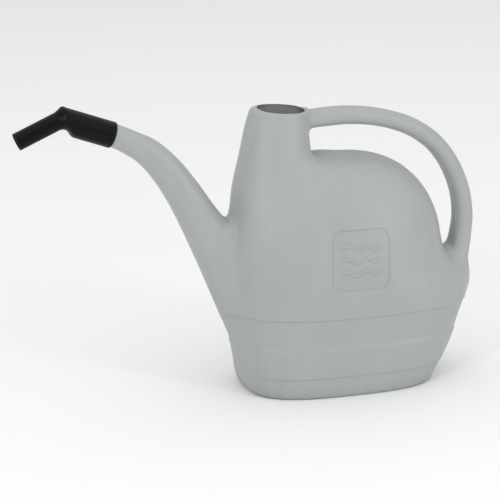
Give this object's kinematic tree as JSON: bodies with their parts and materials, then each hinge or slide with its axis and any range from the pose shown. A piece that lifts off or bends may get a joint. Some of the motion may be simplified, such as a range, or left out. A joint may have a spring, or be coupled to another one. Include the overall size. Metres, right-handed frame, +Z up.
{
  "type": "watering can",
  "caption": "Blow-moulded plastic watering can with a raised filler neck, an arched handle and a curved spout ending in a swivelling angled pouring nozzle.",
  "frame": {"origin": "middle of the base, on the face it stands on", "axes": "+Z up, +X towards the handle, the spout points to -X, symmetric about the XZ plane"},
  "size_m": [0.5126, 0.1352, 0.3262],
  "materials": {
    "can_plastic": "satin blow-moulded polyethylene, cool light grey",
    "nozzle_plastic": "satin injection-moulded polypropylene, black"
  },
  "bodies": {
    "can": {"tank": "can_plastic", "filler_neck": "can_plastic", "spout": "can_plastic", "handle": "can_plastic"},
    "nozzle": {"nozzle": "nozzle_plastic"}
  },
  "joints": [
    {"name": "nozzle_swivel", "type": "hinge", "parent": "can", "child": "nozzle", "pos_m": [-0.2468, 0, 0.2922], "axis": [-0.9397, 0, 0.342], "continuous": true}
  ]
}
